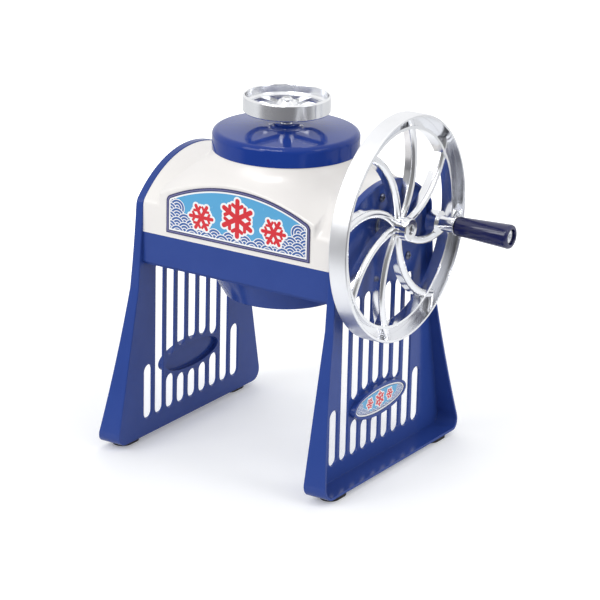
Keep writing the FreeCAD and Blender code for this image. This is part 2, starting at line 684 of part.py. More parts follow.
def blade():
    """Flat knife with a bevelled edge and two holes for its screws."""
    x0, x1 = blade_span()
    bevel = 3 * BLADE_T
    section = [V(x0, 0, 0), V(x0, -bevel, -BLADE_T), V(x0, -BLADE_W, -BLADE_T), V(x0, -BLADE_W, 0)]
    plate = Part.Face(Part.makePolygon(section + section[:1])).extrude(V(x1 - x0, 0, 0))
    holes = [rod_z(SCREW_R + RUN_CLEAR, -BLADE_T - 1, 1, p.x, p.y) for p in blade_screw_places()]
    return blade_frame(plate.cut(holes))


def blade_table():
    """Steel table with a slot over the funnel and a sloping seat for the blade under it."""
    x0, x1 = blade_span()
    disc = rod_z(TABLE_R, FLOOR_TOP_Z, TABLE_TOP_Z)
    seat = blade_frame(box(x0 - 1, x1 + 1, -BLADE_W - 1, -BLADE_T * 4, -BLADE_T - BLADE_SEAT_T, -BLADE_T))
    under = box(-TABLE_R, TABLE_R, -TABLE_R, TABLE_R, FLOOR_BOTTOM_Z - 10, TABLE_TOP_Z)
    body = disc.fuse(seat.common(under))
    above_blade = box(x0 - SEAT_CLEAR, x1 + SEAT_CLEAR, -BLADE_W - SEAT_CLEAR, BLADE_SLOT_GAP, -BLADE_T,
                      SLOT_REACH)
    edge_gap = box(x0 - SEAT_CLEAR, x1 + SEAT_CLEAR, -BLADE_T * 3, BLADE_SLOT_GAP, -SLOT_REACH,
                   SLOT_REACH)
    holes = [rod_z(SCREW_R + RUN_CLEAR, FLOOR_TOP_Z - 1, TABLE_TOP_Z + 1, p.x, p.y)
             for p in table_screw_places()]
    holes += [blade_frame(rod_z(SCREW_R + RUN_CLEAR, -SLOT_REACH, 1, p.x, p.y))
              for p in blade_screw_places()]
    body = body.cut([blade_frame(above_blade), blade_frame(edge_gap)] + holes)
    return body.removeSplitter()


def blade_screws():
    one = screw(BLADE_SCREW_L, SCREW_R, SCREW_HEAD_R * 0.8, BLADE_SCREW_HEAD_H)
    return Part.Compound([blade_frame(aimed(one, Z_AXIS, p)) for p in blade_screw_places()])


def table_screws():
    one = screw(TABLE_T + FLOOR_T - 1)
    return Part.Compound([aimed(one, Z_AXIS, V(p.x, p.y, TABLE_TOP_Z)) for p in table_screw_places()])


def drum_seat_ring():
    """Nylon ring on the table: a ledge carries the drum, a wall guides it."""
    guide = DRUM_R + MOVE_GAP
    inner = DRUM_BORE_R - MOVE_GAP
    return turned_z([(inner, TABLE_TOP_Z), (guide + SEAT_RING_T, TABLE_TOP_Z),
                     (guide + SEAT_RING_T, TABLE_TOP_Z + SEAT_RING_H),
                     (guide, TABLE_TOP_Z + SEAT_RING_H), (guide, DRUM_BOTTOM_Z), (inner, DRUM_BOTTOM_Z)])


def funnel_flange_radius():
    """Inner radius of the cone's wall at the lower face of its flange."""
    slope = (FUNNEL_TOP_R - FUNNEL_BOTTOM_R) / FUNNEL_H
    return FUNNEL_TOP_R - FUNNEL_WALL - slope * FUNNEL_FLANGE_T


def funnel():
    """Cone that gathers the shavings over the bowl, hung on an inner flange."""
    bottom_z = FLOOR_BOTTOM_Z - FUNNEL_H
    flange_z = FLOOR_BOTTOM_Z - FUNNEL_FLANGE_T
    flange_r = funnel_flange_radius()
    cone = turned_z([(FUNNEL_BOTTOM_R, bottom_z), (FUNNEL_TOP_R, FLOOR_BOTTOM_Z),
                     (flange_r - FUNNEL_FLANGE_W, FLOOR_BOTTOM_Z), (flange_r - FUNNEL_FLANGE_W, flange_z),
                     (flange_r, flange_z), (FUNNEL_BOTTOM_R - FUNNEL_WALL, bottom_z)])
    holes = [rod_z(SCREW_R + RUN_CLEAR, flange_z - 1, FLOOR_BOTTOM_Z + 1, p.x, p.y)
             for p in funnel_screw_places()]
    return cone.cut(holes)


def funnel_screws():
    """Screws from above, through the tray floor into the funnel's flange."""
    one = screw(FUNNEL_FLANGE_T + FLOOR_T - 1, SCREW_R, SCREW_HEAD_R * 0.8)
    return Part.Compound([aimed(one, Z_AXIS, V(p.x, p.y, FLOOR_TOP_Z)) for p in funnel_screw_places()])


def ice_drum():
    """Open cylinder with inner vanes that drive the ice and a top flange for its gear."""
    wall = tube_z(DRUM_R, DRUM_BORE_R, DRUM_BOTTOM_Z, DRUM_TOP_Z)
    flange = tube_z(GEAR_OUT, DRUM_BORE_R, RING_TOP_Z, DRUM_TOP_Z)
    vane = box(VANE_TIP_R, DRUM_BORE_R + DRUM_WALL / 2, -VANE_W / 2, VANE_W / 2, DRUM_BOTTOM_Z, DRUM_TOP_Z)
    body = fused([wall, flange] + around_z(vane, VANE_COUNT, 30))
    hole = rod_z(SCREW_R + RUN_CLEAR, RING_TOP_Z - 1, DRUM_TOP_Z + 1, gear_screw_radius())
    return body.cut(around_z(hole, 4, 45))


# ================================================================ gears
def gear_screw_radius():
    return (DRUM_R + GEAR_OUT) / 2


def ring_tooth():
    """One straight bevel tooth pointing down, drawn at the outer end and tapered to the apex."""
    slope = math.tan(math.radians(PRESSURE))
    low = PINION_R - ADDENDUM
    high = PINION_R + DEDENDUM + 1.0
    half = TOOTH_THICK / 2
    section = [(half - ADDENDUM * slope, low), (half + (high - PINION_R) * slope, high)]
    corners = [V(GEAR_OUT, s * t, z) for s, t, z in
               ((1, *section[0]), (1, *section[1]), (-1, *section[1]), (-1, *section[0]))]
    big = Part.makePolygon(corners + corners[:1])
    small = Part.makePolygon([c * GEAR_TAPER for c in corners + corners[:1]])
    tooth = Part.makeLoft([big, small], True, True)
    tooth.translate(V(0, 0, AXLE_Z))
    return tooth


def ring_gear():
    """Large bevel gear, teeth down, a gap in its teeth over the pinion's top tooth."""
    inner = DRUM_R + SEAT_CLEAR
    root = (PINION_R + DEDENDUM) / GEAR_OUT
    body = turned_z([(inner, AXLE_Z + inner * root), (GEAR_OUT, RING_ROOT_Z), (RING_R, RING_ROOT_Z),
                     (RING_R, RING_TOP_Z), (inner, RING_TOP_Z)])
    teeth = around_z(ring_tooth(), RING_TEETH, 180.0 / RING_TEETH)
    hole = rod_z(SCREW_R + RUN_CLEAR, RING_TOP_Z - 6, RING_TOP_Z + 1, gear_screw_radius())
    return body.fuse(teeth).cut(around_z(hole, 4, 45)).removeSplitter()


def ring_gear_screws():
    one = aimed(screw(DRUM_FLANGE_T + 5), Z_AXIS, V(gear_screw_radius(), 0, DRUM_TOP_Z))
    return Part.Compound(around_z(one, 4, 45))


def involute_half_angle(radius):
    """Half the angle that a pinion tooth fills at a radius, in radians."""
    base = PINION_R * math.cos(math.radians(PRESSURE))
    pitch_angle = math.tan(math.radians(PRESSURE)) - math.radians(PRESSURE)
    turn = math.acos(min(1.0, base / radius))
    return TOOTH_THICK / (2 * PINION_R) + pitch_angle - (math.tan(turn) - turn)


def pinion_outline():
    """Corners (y, z) of the pinion's large end, a tooth centred on +Z."""
    root = PINION_R - DEDENDUM
    tip = PINION_R + ADDENDUM
    radii = [root, PINION_R - ADDENDUM / 2, PINION_R, PINION_R + ADDENDUM / 2, tip]
    corners = []
    for tooth in range(PINION_TEETH):
        middle = math.pi / 2 + tooth * 2 * math.pi / PINION_TEETH
        rising = [(r, middle - involute_half_angle(max(r, radii[1] - 1))) for r in radii]
        falling = [(r, 2 * middle - a) for r, a in reversed(rising)]
        corners += [(r * math.cos(a), r * math.sin(a)) for r, a in rising + falling]
    return corners


def bevel_pinion():
    points = [V(GEAR_OUT, y, z) for y, z in pinion_outline()]
    big = Part.makePolygon(points + points[:1])
    small = Part.makePolygon([p * GEAR_TAPER for p in points + points[:1]])
    teeth = Part.makeLoft([big, small], True, True)
    hub = rod_x(PINION_HUB_R, GEAR_OUT - EPS, PINION_HUB_END)
    body = fused([teeth, hub]).cut(rod_x(AXLE_R + RUN_CLEAR, GEAR_IN - 1, PINION_HUB_END + 1))
    body = body.cut(rod_z(PIN_R + RUN_CLEAR, -PINION_HUB_R - 1, PINION_HUB_R + 1, pin_x()))
    body.translate(V(0, 0, AXLE_Z))
    return body


def pin_x():
    return (GEAR_OUT + PINION_HUB_END) / 2


def pinion_pin():
    return rod_z(PIN_R, AXLE_Z - PINION_HUB_R + 0.5, AXLE_Z + PINION_HUB_R - 0.5, pin_x())


# ================================================================ axle and bearings
def clip_x():
    """Inner face of the circlip beside the outer bush."""
    return FRAME_GAP_HALF - BEARING_BOSS_L - MOVE_GAP - CIRCLIP_T


def drive_axle():
    """Steel axle from behind the drum to the crank wheel's hub."""
    start = DRUM_R + PINION_GAP / 2
    axle = rod_x(AXLE_R, start, AXLE_END, 0, AXLE_Z)
    groove = tube_x(AXLE_R + 1, AXLE_R - 0.8, clip_x() - 0.05, clip_x() + CIRCLIP_T + 0.05, 0, AXLE_Z)
    cuts = [groove, rod_z(PIN_R + RUN_CLEAR, AXLE_Z - AXLE_R - 1, AXLE_Z + AXLE_R + 1, pin_x()),
            rod_x(SCREW_R + RUN_CLEAR, AXLE_END - 12, AXLE_END + 1, 0, AXLE_Z)]
    return axle.cut(cuts)


def axle_circlip():
    """Open spring ring in the axle's groove."""
    ring = tube_x(CIRCLIP_R, AXLE_R - 0.8 + RUN_CLEAR, clip_x(), clip_x() + CIRCLIP_T, 0, AXLE_Z)
    mouth = box(clip_x() - 1, clip_x() + CIRCLIP_T + 1, -1.5, 1.5, AXLE_Z - CIRCLIP_R - 1, AXLE_Z)
    return ring.cut(mouth)


def flanged_bush(x0, x1, flange_x0, flange_x1):
    shapes = [tube_x(BUSH_R, AXLE_R + RUN_CLEAR, x0, x1, 0, AXLE_Z)]
    shapes.append(tube_x(BUSH_FLANGE_R, AXLE_R + RUN_CLEAR, flange_x0, flange_x1, 0, AXLE_Z))
    return fused(shapes)


def inner_bush():
    return flanged_bush(BRACKET_X, BRACKET_X + BRACKET_T, BRACKET_X - BUSH_FLANGE_T, BRACKET_X)


def outer_bush():
    return flanged_bush(FRAME_GAP_HALF - BEARING_BOSS_L, FRAME_FACE, FRAME_FACE, FRAME_FACE + BUSH_FLANGE_T)


def axle_bracket():
    """Pedestal on the tray floor that holds the inner bush."""
    x0, x1 = BRACKET_X, BRACKET_X + BRACKET_T
    foot_half = BRACKET_HALF_W + BRACKET_FOOT_L
    shapes = [box(x0, x1, -BRACKET_HALF_W, BRACKET_HALF_W, FLOOR_TOP_Z, AXLE_Z),
              rod_x(BRACKET_HALF_W, x0, x1, 0, AXLE_Z),
              box(x0, x1, -foot_half, foot_half, FLOOR_TOP_Z, FLOOR_TOP_Z + BRACKET_FOOT_T)]
    body = fused(shapes)
    cuts = [rod_x(BUSH_R + SEAT_CLEAR / 2, x0 - 1, x1 + 1, 0, AXLE_Z)]
    cuts += [rod_z(SCREW_R + RUN_CLEAR, FLOOR_TOP_Z - 1, FLOOR_TOP_Z + BRACKET_FOOT_T + 1, p.x, p.y)
             for p in bracket_screw_places()]
    return body.cut(cuts)


def bracket_screws():
    one = screw(BRACKET_FOOT_T + FLOOR_T - 1)
    z = FLOOR_TOP_Z + BRACKET_FOOT_T
    return Part.Compound([aimed(one, Z_AXIS, V(p.x, p.y, z)) for p in bracket_screw_places()])


def axle_washer():
    x0 = FRAME_FACE + BUSH_FLANGE_T + MOVE_GAP
    return tube_x(HUB_R - 1, AXLE_R + RUN_CLEAR, x0, x0 + WASHER_T, 0, AXLE_Z)


# ================================================================ crank wheel
def spoke_points():
    """Hub end, middle and rim end of a spoke's middle line, for angle zero."""
    ends = [(HUB_R * 0.5, -SPOKE_SWEEP_HUB), ((HUB_R + WHEEL_R) * 0.46, -SPOKE_SWEEP_MID),
            (WHEEL_R - RIM_T / 2, 0.0)]
    return [V(0, r * math.cos(math.radians(t)), r * math.sin(math.radians(t))) for r, t in ends]


def spoke_circle():
    """Centre and radius of the arc that a spoke's middle line follows."""
    curve = Part.Arc(*spoke_points()).toShape().Curve
    return curve.Center, curve.Radius


def handle_place():
    """Y and Z of the handle's axis, beside the first spoke at the handle's radius."""
    centre, arc_r = spoke_circle()
    away = math.hypot(centre.y, centre.z)
    swing = math.acos((HANDLE_RADIUS ** 2 + away ** 2 - arc_r ** 2) / (2 * HANDLE_RADIUS * away))
    middle_line = math.atan2(centre.z, centre.y) - swing
    angle = middle_line + math.radians(SPOKE_PHASE) + HANDLE_STEP / HANDLE_RADIUS
    return HANDLE_RADIUS * math.cos(angle), AXLE_Z + HANDLE_RADIUS * math.sin(angle)


def spoke_blank():
    """One curved spoke with a rounded front, drawn around the axle for angle zero."""
    a, b, c = spoke_points()
    centre, radius = spoke_circle()
    edges = []
    rays = []
    for half in (SPOKE_W / 2, -SPOKE_W / 2):
        points = [centre + (p - centre).normalize() * (radius + half) for p in (a, b, c)]
        edges.append(Part.Arc(*points).toShape())
        rays.append(points)
    start = Part.makeLine(rays[0][0], rays[1][0])
    finish = Part.makeLine(rays[0][2], rays[1][2])
    face = Part.Face(Part.Wire([edges[0], finish, edges[1], start]))
    solid = from_x(face, SPOKE_FRONT - SPOKE_DEPTH, SPOKE_FRONT)
    long_front = [e for e in edges_on_plane(solid, SPOKE_FRONT) if e.Length > WHEEL_R / 2]
    return solid.makeFillet(SPOKE_ROUND, long_front)


def spokes():
    """All spokes about the axle line."""
    blank = spoke_blank()
    copies = []
    for index in range(SPOKE_COUNT):
        copy = blank.copy()
        copy.rotate(V(0, 0, 0), X_AXIS, SPOKE_PHASE + index * 360.0 / SPOKE_COUNT)
        copies.append(copy)
    return copies


def crank_wheel_rim():
    """Smooth outer band with a channel inside it, ribbed where each spoke arrives."""
    band_in = WHEEL_R - RIM_T
    web_x = RIM_BACK + CHANNEL_WEB_X
    band = turned_x([(band_in, RIM_BACK), (WHEEL_R - 0.6, RIM_BACK), (WHEEL_R, RIM_BACK + 0.6),
                     (WHEEL_R, RIM_BACK + RIM_W - 1.2), (WHEEL_R - 0.5, RIM_BACK + RIM_W - 0.3),
                     (WHEEL_R - 1.2, RIM_BACK + RIM_W), (band_in, RIM_BACK + RIM_W)])
    web = tube_x(band_in + EPS, LIP_IN_R, web_x, web_x + CHANNEL_WEB_T)
    lip = tube_x(LIP_OUT_R, LIP_IN_R, RIM_BACK + 0.5, RIM_BACK + 0.5 + LIP_W)
    zone = tube_x(band_in + RIM_T / 3, LIP_IN_R, RIM_BACK, RIM_BACK + RIM_W)
    ribs = [one.common(zone) for one in spokes()]
    rim = fused([band, web, lip] + ribs)
    rim.translate(V(0, 0, AXLE_Z))
    return rim


def crank_wheel_spider():
    """Hub, curved spokes and the eye that carries the handle."""
    reach = rod_x(LIP_IN_R, RIM_BACK, HUB_FACE)
    arms = [one.common(reach) for one in spokes()]
    hub = turned_x([(0, HUB_BACK), (HUB_R - 1, HUB_BACK), (HUB_R - 1, SPOKE_FRONT + 2),
                    (HUB_R, SPOKE_FRONT + 5), (HUB_R, HUB_FACE - 1), (HUB_R - 1, HUB_FACE), (0, HUB_FACE)])
    y, handle_z = handle_place()
    z = handle_z - AXLE_Z
    eye = rod_x(EYE_R, SPOKE_FRONT - SPOKE_DEPTH, SPOKE_FRONT, y, z)
    boss = rod_x(HANDLE_BOSS_R, SPOKE_FRONT - EPS, HANDLE_FACE, y, z)
    body = fused([hub, eye, boss] + arms)
    cuts = [rod_x(AXLE_R + RUN_CLEAR, HUB_BACK - 1, AXLE_END + SEAT_CLEAR),
            rod_x(SCREW_R + SEAT_CLEAR, AXLE_END - 1, HUB_FACE),
            rod_x(HUB_MOUTH_R, HUB_FACE - HUB_MOUTH_D, HUB_FACE + 1),
            rod_x(HANDLE_BOLT_R + RUN_CLEAR, handle_bolt_start(), HANDLE_FACE + 1, y, z)]
    body = body.cut(cuts)
    body.translate(V(0, 0, AXLE_Z))
    return body


def socket_screw(length, radius, head_r, head_h):
    """Cap screw along +Z with a hexagon socket; its head stands from 0 to head_h."""
    body = fused([rod_z(head_r, 0, head_h), rod_z(radius, -length, EPS)])
    socket_r = head_r * 0.5
    angles = [math.radians(60 * k) for k in range(7)]
    hexagon = [V(socket_r * math.cos(a), socket_r * math.sin(a), head_h * 0.35) for a in angles]
    return body.cut(Part.Face(Part.makePolygon(hexagon)).extrude(V(0, 0, head_h)))


def wheel_screw():
    one = socket_screw(12.0, SCREW_R, HUB_SCREW_R, HUB_SCREW_H)
    return aimed(one, X_AXIS, V(HUB_FACE - HUB_MOUTH_D, 0, AXLE_Z))


def handle_bolt_start():
    """Inner end of the handle bolt, inside the eye."""
    return SPOKE_FRONT - SPOKE_DEPTH / 2


def handle_bolt():
    """Shoulder bolt on which the grip turns, its head sunk in the grip's end."""
    head_x = GRIP_FINISH - GRIP_RECESS_D + MOVE_GAP
    length = head_x - handle_bolt_start()
    one = socket_screw(length, HANDLE_BOLT_R, HANDLE_BOLT_HEAD_R, HANDLE_BOLT_HEAD_H)
    return aimed(one, X_AXIS, V(head_x, *handle_place()))


def handle_washer():
    return tube_x(GRIP_INNER_R, HANDLE_BOLT_R + RUN_CLEAR, HANDLE_FACE, HANDLE_FACE + WASHER_T,
                  *handle_place())


def handle_grip():
    """Tapered round grip with soft ends and a sunk mouth for the bolt head."""
    a, b = GRIP_START, GRIP_FINISH
    bore = HANDLE_BOLT_R + RUN_CLEAR
    soft = GRIP_END_R
    body = turned_x([(bore, a), (GRIP_INNER_R - soft / 2, a), (GRIP_INNER_R, a + soft / 2),
                     (GRIP_OUTER_R, b - soft), (GRIP_OUTER_R - soft * 0.3, b - soft * 0.3),
                     (GRIP_OUTER_R - soft, b), (bore, b)], *handle_place())
    return body.cut(rod_x(GRIP_RECESS_R, b - GRIP_RECESS_D, b + 1, *handle_place()))


# ================================================================ lid, feed and presser
def nut_top_z():
    return LID_CROWN_Z + NUT_PROUD


def lid_under_z():
    """Lower face of the lid's middle, where the nut flange seats."""
    return LID_CROWN_Z - LID_WALL


def circles_at(shape, radius, z):
    """Full circular edges about the spindle at a radius and height."""
    return [e for e in shape.Edges if e.isClosed()
            and abs(e.BoundBox.XMax - radius) < 1e-3 and abs(e.BoundBox.ZMin - z) < 1e-3]


def lid():
    """Cap with a rounded edge and a top that rises gently to a flat middle."""
    top = LID_BASE_Z + LID_H
    under = lid_under_z()
    bore = NUT_R + SEAT_CLEAR / 2
    body = turned_z([(LID_SKIRT_BORE_R, LID_BASE_Z), (LID_R, LID_BASE_Z), (LID_R, top),
                     (LID_CROWN_R, LID_CROWN_Z), (bore, LID_CROWN_Z), (bore, under), (LID_CROWN_R, under),
                     (LID_SKIRT_BORE_R, top - LID_WALL)])
    body = body.makeFillet(LID_EDGE_R, circles_at(body, LID_R, top))
    body = body.makeFillet(LID_CROWN_ROUND, circles_at(body, LID_CROWN_R, LID_CROWN_Z))
    hole = rod_z(SCREW_R + RUN_CLEAR, under - 1, under + 6, nut_screw_radius())
    return body.cut(around_z(hole, NUT_SCREWS))


def nut_screw_radius():
    return (NUT_R + NUT_FLANGE_R) / 2 + 0.5


def spindle_nut():
    """Flanged nut held under the lid."""
    under = lid_under_z()
    bore = SPINDLE_R + RUN_CLEAR
    low = under - NUT_FLANGE_T
    body = turned_z([(bore, low), (NUT_FLANGE_R, low), (NUT_FLANGE_R, under), (NUT_R, under),
                     (NUT_R, nut_top_z()), (bore, nut_top_z())])
    hole = rod_z(SCREW_R + RUN_CLEAR, low - 1, under + 1, nut_screw_radius())
    return body.cut(around_z(hole, NUT_SCREWS))


def nut_screws():
    place = V(nut_screw_radius(), 0, lid_under_z() - NUT_FLANGE_T)
    one = aimed(screw(NUT_FLANGE_T + 5, SCREW_R, SCREW_HEAD_R * 0.8), V(0, 0, -1), place)
    return Part.Compound(around_z(one, NUT_SCREWS))


def spindle_foot_z():
    """Lower end of the spindle's journal, just under the roof of the plate's recess."""
    return PRESSER_Z + PRESSER_RECESS_D - SEAT_CLEAR


def feed_spindle():
    """Screw spindle: thread between the presser's journal and the hand wheel's seat."""
    root = SPINDLE_R - THREAD_DEPTH
    thread_low = SPINDLE_SHOULDER_Z + 6
    thread_high = HAND_HUB_Z - 2
    turns = int((thread_high - thread_low) / THREAD_PITCH)
    profile = [(0, spindle_foot_z()), (JOURNAL_R, spindle_foot_z()), (JOURNAL_R, SPINDLE_SHOULDER_Z),
               (SPINDLE_R, SPINDLE_SHOULDER_Z), (SPINDLE_R, thread_low)]
    for turn in range(turns):
        z = thread_low + turn * THREAD_PITCH
        profile += [(root, z + 0.3 * THREAD_PITCH), (root, z + 0.5 * THREAD_PITCH),
                    (SPINDLE_R, z + 0.8 * THREAD_PITCH), (SPINDLE_R, z + THREAD_PITCH)]
    profile += [(SPINDLE_R, HAND_HUB_Z), (JOURNAL_R, HAND_HUB_Z), (JOURNAL_R, hand_seat_z()),
                (0, hand_seat_z())]
    body = turned_z(profile)
    cuts = [rod_z(SCREW_R + RUN_CLEAR, PRESSER_Z, PRESSER_Z + 15),
            rod_z(SCREW_R + RUN_CLEAR, hand_seat_z() - 14, hand_seat_z() + 1)]
    return body.cut(cuts)


def hand_seat_z():
    """Upper end of the spindle, inside the hand wheel's hub."""
    return HAND_HUB_Z + HAND_HUB_H - 3.0


def hand_wheel():
    """Deep ring on a spoked web with a raised hub."""
    inner = HAND_R - HAND_WALL
    ledge = inner - HAND_LEDGE_W
    web_z = HAND_BASE_Z + 3.0
    ring = turned_z([(inner, HAND_BASE_Z + 1), (inner + 1, HAND_BASE_Z), (HAND_R - 0.8, HAND_BASE_Z),
                     (HAND_R, HAND_BASE_Z + 0.8), (HAND_R, HAND_TOP_Z - 1.5), (HAND_R - 1.5, HAND_TOP_Z),
                     (inner + 0.6, HAND_TOP_Z), (inner, HAND_TOP_Z - 1)])
    shelf = turned_z([(ledge, web_z), (inner + 0.5, web_z), (inner + 0.5, web_z + HAND_LEDGE_T + 2),
                      (inner - 0.5, web_z + HAND_LEDGE_T + 2), (inner - 2, web_z + HAND_LEDGE_T),
                      (ledge, web_z + HAND_LEDGE_T)])
    arm = box(HAND_HUB_R * 0.5, ledge + 2, -HAND_SPOKE_W / 2, HAND_SPOKE_W / 2, web_z, web_z + HAND_LEDGE_T)
    top = HAND_HUB_Z + HAND_HUB_H
    hub = turned_z([(0, HAND_HUB_Z), (HAND_HUB_R - 1, HAND_HUB_Z), (HAND_HUB_R, HAND_HUB_Z + 1),
                    (HAND_HUB_R, top - 3), (HAND_HUB_R - 2.5, top), (0, top)])
    body = fused([ring, shelf, hub] + around_z(arm, HAND_SPOKES, 18))
    cuts = [rod_z(JOURNAL_R + RUN_CLEAR, HAND_HUB_Z - 1, hand_seat_z() + SEAT_CLEAR),
            rod_z(SCREW_R + SEAT_CLEAR, HAND_HUB_Z, top + 1)]
    return body.cut(cuts)


def hand_wheel_screw():
    return aimed(screw(14.0, SCREW_R, HAND_HUB_R * 0.55, 3.0), Z_AXIS, V(0, 0, HAND_HUB_Z + HAND_HUB_H))


def thrust_washer():
    return tube_z(PRESSER_HUB_R - 2, JOURNAL_R + RUN_CLEAR, PRESSER_TOP_Z, PRESSER_TOP_Z + WASHER_T)


def presser_plate():
    """Round plate with spikes that hold the ice down; its hub turns on the spindle's journal."""
    recess = PRESSER_SCREW_R + 1.5
    recess_top = PRESSER_Z + PRESSER_RECESS_D
    plate_top = PRESSER_Z + PRESSER_T
    body = turned_z([(JOURNAL_R + RUN_CLEAR, recess_top), (recess, recess_top), (recess, PRESSER_Z),
                     (PRESSER_R - 0.6, PRESSER_Z), (PRESSER_R, PRESSER_Z + 0.6), (PRESSER_R, plate_top),
                     (PRESSER_HUB_R + 2, plate_top), (PRESSER_HUB_R, plate_top + 2),
                     (PRESSER_HUB_R, PRESSER_TOP_Z), (JOURNAL_R + RUN_CLEAR, PRESSER_TOP_Z)])
    spikes = []
    for count, radius in SPIKE_ROWS:
        spike = Part.makeCone(0.4, SPIKE_R, SPIKE_H + EPS, V(radius, 0, PRESSER_Z - SPIKE_H))
        spikes += around_z(spike, count)
    return body.fuse(spikes).removeSplitter()


def presser_screw():
    """Large-headed screw that keeps the plate on the spindle."""
    one = screw(12.0, SCREW_R, PRESSER_SCREW_R, PRESSER_SCREW_H)
    return aimed(one, V(0, 0, -1), V(0, 0, spindle_foot_z()))


# ================================================================ export
def nodes():
    """Every separate piece by name."""
    return {
        "right_side_frame": side_frame(True),
        "left_side_frame": mirrored(side_frame(False)),
        "frame_screws": frame_screws(),
        "rubber_feet": rubber_feet(),
        "right_badge": badge_sticker(),
        "left_badge": mirrored(badge_sticker()),
        "base_tray": base_tray(),
        "upper_casing": upper_casing(),
        "front_label": front_label(),
        "funnel": funnel(),
        "funnel_screws": funnel_screws(),
        "blade_table": blade_table(),
        "table_screws": table_screws(),
        "shaving_blade": blade(),
        "blade_screws": blade_screws(),
        "drum_seat_ring": drum_seat_ring(),
        "axle_bracket": axle_bracket(),
        "bracket_screws": bracket_screws(),
        "inner_bush": inner_bush(),
        "outer_bush": outer_bush(),
        "ice_drum": ice_drum(),
        "ring_gear": ring_gear(),
        "ring_gear_screws": ring_gear_screws(),
        "drive_axle": drive_axle(),
        "bevel_pinion": bevel_pinion(),
        "pinion_pin": pinion_pin(),
        "axle_circlip": axle_circlip(),
        "axle_washer": axle_washer(),
        "crank_wheel_rim": crank_wheel_rim(),
        "crank_wheel_spider": crank_wheel_spider(),
        "wheel_screw": wheel_screw(),
        "handle_bolt": handle_bolt(),
        "handle_washer": handle_washer(),
        "handle_grip": handle_grip(),
        "lid": lid(),
        "spindle_nut": spindle_nut(),
        "nut_screws": nut_screws(),
        "feed_spindle": feed_spindle(),
        "hand_wheel": hand_wheel(),
        "hand_wheel_screw": hand_wheel_screw(),
        "presser_screw": presser_screw(),
        "thrust_washer": thrust_washer(),
        "presser_plate": presser_plate(),
    }


def export_nodes():
    os.makedirs("parts", exist_ok=True)
    shift = V(-(MACHINE_LEFT + GRIP_FINISH) / 2, 0, 0)
    for name, shape in nodes().items():
        placed = shape.copy()
        placed.translate(shift)
        placed.exportStep(os.path.join("parts", name + ".step"))
        state = "" if placed.isValid() else "  NOT VALID"
        print("%-20s %d solid(s) %9.1f mm3%s" % (name, len(placed.Solids), placed.Volume, state))


export_nodes()
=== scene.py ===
"""Looks of the hand-cranked ice shaver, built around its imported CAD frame."""
import math

import bpy
from mathutils import Matrix, Vector


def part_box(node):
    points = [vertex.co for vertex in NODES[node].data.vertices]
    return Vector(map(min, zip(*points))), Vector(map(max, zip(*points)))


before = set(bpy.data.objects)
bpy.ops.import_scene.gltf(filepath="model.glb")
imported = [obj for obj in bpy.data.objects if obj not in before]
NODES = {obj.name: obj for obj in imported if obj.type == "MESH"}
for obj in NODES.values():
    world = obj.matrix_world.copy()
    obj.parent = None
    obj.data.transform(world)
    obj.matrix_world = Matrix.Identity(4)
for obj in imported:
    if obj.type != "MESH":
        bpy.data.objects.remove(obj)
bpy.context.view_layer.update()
MM = 0.001


# ---------------------------------------------------------------- node arithmetic
class Num:
    """A number worked out by a node tree, with ordinary arithmetic."""

    def __init__(self, tree, value):
        self.tree = tree
        self.value = value

    def _math(self, operation, *others):
        node = self.tree.nodes.new("ShaderNodeMath")
        node.operation = operation
        for socket, item in zip(node.inputs, (self, *others)):
            plug(self.tree, socket, item)
        return Num(self.tree, node.outputs[0])

    def __add__(self, other):
        return self._math("ADD", other)

    def __sub__(self, other):
        return self._math("SUBTRACT", other)

    def __mul__(self, other):
        return self._math("MULTIPLY", other)

    def __truediv__(self, other):
        return self._math("DIVIDE", other)

    def __neg__(self):
        return self._math("MULTIPLY", -1.0)

    def __abs__(self):
        return self._math("ABSOLUTE")

    def least(self, other):
        return self._math("MINIMUM", other)

    def most(self, other):
        return self._math("MAXIMUM", other)

    def between(self, low, high):
        return self.most(low).least(high)

    def floor(self):
        return self._math("FLOOR")

    def repeat(self, period):
        return self._math("FLOORED_MODULO", period)

    def root(self):
        return self._math("SQRT")

    def sine(self):
        return self._math("SINE")

    def cosine(self):
        return self._math("COSINE")

    def direction(self, other):
        """Angle of the point (other, self)."""
        return self._math("ARCTAN2", other)

    def over(self, other):
        """1 where this is the greater."""
        return self._math("GREATER_THAN", other)


def plug(tree, socket, item):
    """Give a socket a number or another node's output."""
    if isinstance(item, Num):
        item = item.value
    if isinstance(item, bpy.types.NodeSocket):
        tree.links.new(item, socket)
    else:
        socket.default_value = item


def length(a, b):
    return (a * a + b * b).root()


def soft_step(value, edge, width):
    """0 below the edge, 1 above it, with a short ramp between."""
    return ((value - edge) / width + 0.5).between(0.0, 1.0)


def mix_colour(tree, share, first, second):
    node = tree.nodes.new("ShaderNodeMix")
    node.data_type = "RGBA"
    plug(tree, node.inputs["Factor"], share)
    plug(tree, node.inputs["A"], first)
    plug(tree, node.inputs["B"], second)
    return node.outputs["Result"]


def rgb(red, green, blue):
    """Display values 0 to 255 as a linear colour."""
    def linear(value):
        share = value / 255.0
        return share / 12.92 if share <= 0.04045 else ((share + 0.055) / 1.055) ** 2.4
    return (linear(red), linear(green), linear(blue), 1.0)


def place(tree):
    """Coordinates of the surface point at rest, in millimetres."""
    source = tree.nodes.new("ShaderNodeTexCoord")
    split = tree.nodes.new("ShaderNodeSeparateXYZ")
    tree.links.new(source.outputs["Object"], split.inputs[0])
    return [Num(tree, out) * (1.0 / MM) for out in split.outputs]


def vector(tree, x, y, z):
    node = tree.nodes.new("ShaderNodeCombineXYZ")
    for socket, item in zip(node.inputs, (x, y, z)):
        plug(tree, socket, item)
    return node.outputs[0]


